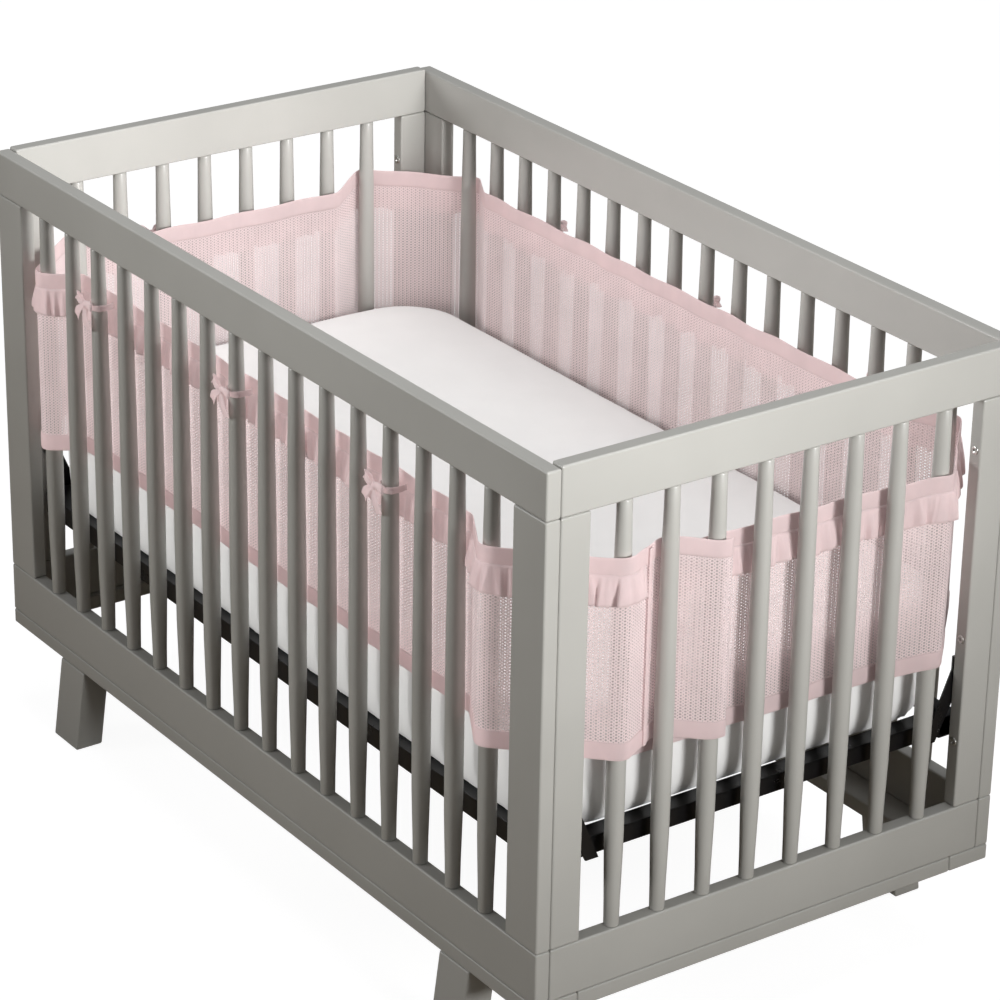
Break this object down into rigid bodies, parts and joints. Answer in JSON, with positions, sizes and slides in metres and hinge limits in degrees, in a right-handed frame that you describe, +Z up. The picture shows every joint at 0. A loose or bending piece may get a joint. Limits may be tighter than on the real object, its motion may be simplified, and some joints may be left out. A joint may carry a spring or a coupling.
{
  "type": "crib bumper liner on a crib with mattress",
  "caption": "Mesh crib liner with a gathered ruffle and bow ties, woven through the spindles of a painted crib around its mattress.",
  "frame": {"origin": "middle of the footprint, on the floor", "axes": "+X along the long sides towards the end where the liner laps, +Y across to the back, +Z up"},
  "size_m": [1.3946, 0.788, 0.883],
  "materials": {
    "painted_wood": "satin warm grey paint",
    "mattress_sheet": "matt white cotton sheet",
    "black_steel": "semi-gloss black paint",
    "liner_mesh": "matt pale pink knitted mesh",
    "liner_cloth": "soft matt pale pink woven cloth"
  },
  "bodies": {
    "root": {"top_rail_front": "painted_wood", "bottom_rail_front": "painted_wood", "base_rail_front": "painted_wood", "top_rail_back": "painted_wood", "bottom_rail_back": "painted_wood", "base_rail_back": "painted_wood", "top_rail_far": "painted_wood", "bottom_rail_far": "painted_wood", "base_rail_far": "painted_wood", "post_front_far": "painted_wood", "stile_front_far": "painted_wood", "leg_front_far": "painted_wood", "hanger_front_far": "black_steel", "post_back_far": "painted_wood", "stile_back_far": "painted_wood", "leg_back_far": "painted_wood", "hanger_back_far": "black_steel", "top_rail_near": "painted_wood", "bottom_rail_near": "painted_wood", "base_rail_near": "painted_wood", "post_front_near": "painted_wood", "stile_front_near": "painted_wood", "leg_front_near": "painted_wood", "hanger_front_near": "black_steel", "post_back_near": "painted_wood", "stile_back_near": "painted_wood", "leg_back_near": "painted_wood", "hanger_back_near": "black_steel", "mattress": "mattress_sheet", "mattress_support": "black_steel", "liner_mesh_panel": "liner_mesh", "liner_top_binding": "liner_cloth", "liner_bottom_binding": "liner_cloth", "liner_ruffle": "liner_cloth", "liner_closure_strip": "liner_cloth", "tie_front_3": "liner_cloth", "tie_front_8": "liner_cloth", "tie_front_13": "liner_cloth", "tie_back_14": "liner_cloth", "tie_back_9": "liner_cloth", "tie_back_4": "liner_cloth", "tie_far_3": "liner_cloth"}
  },
  "joints": []
}
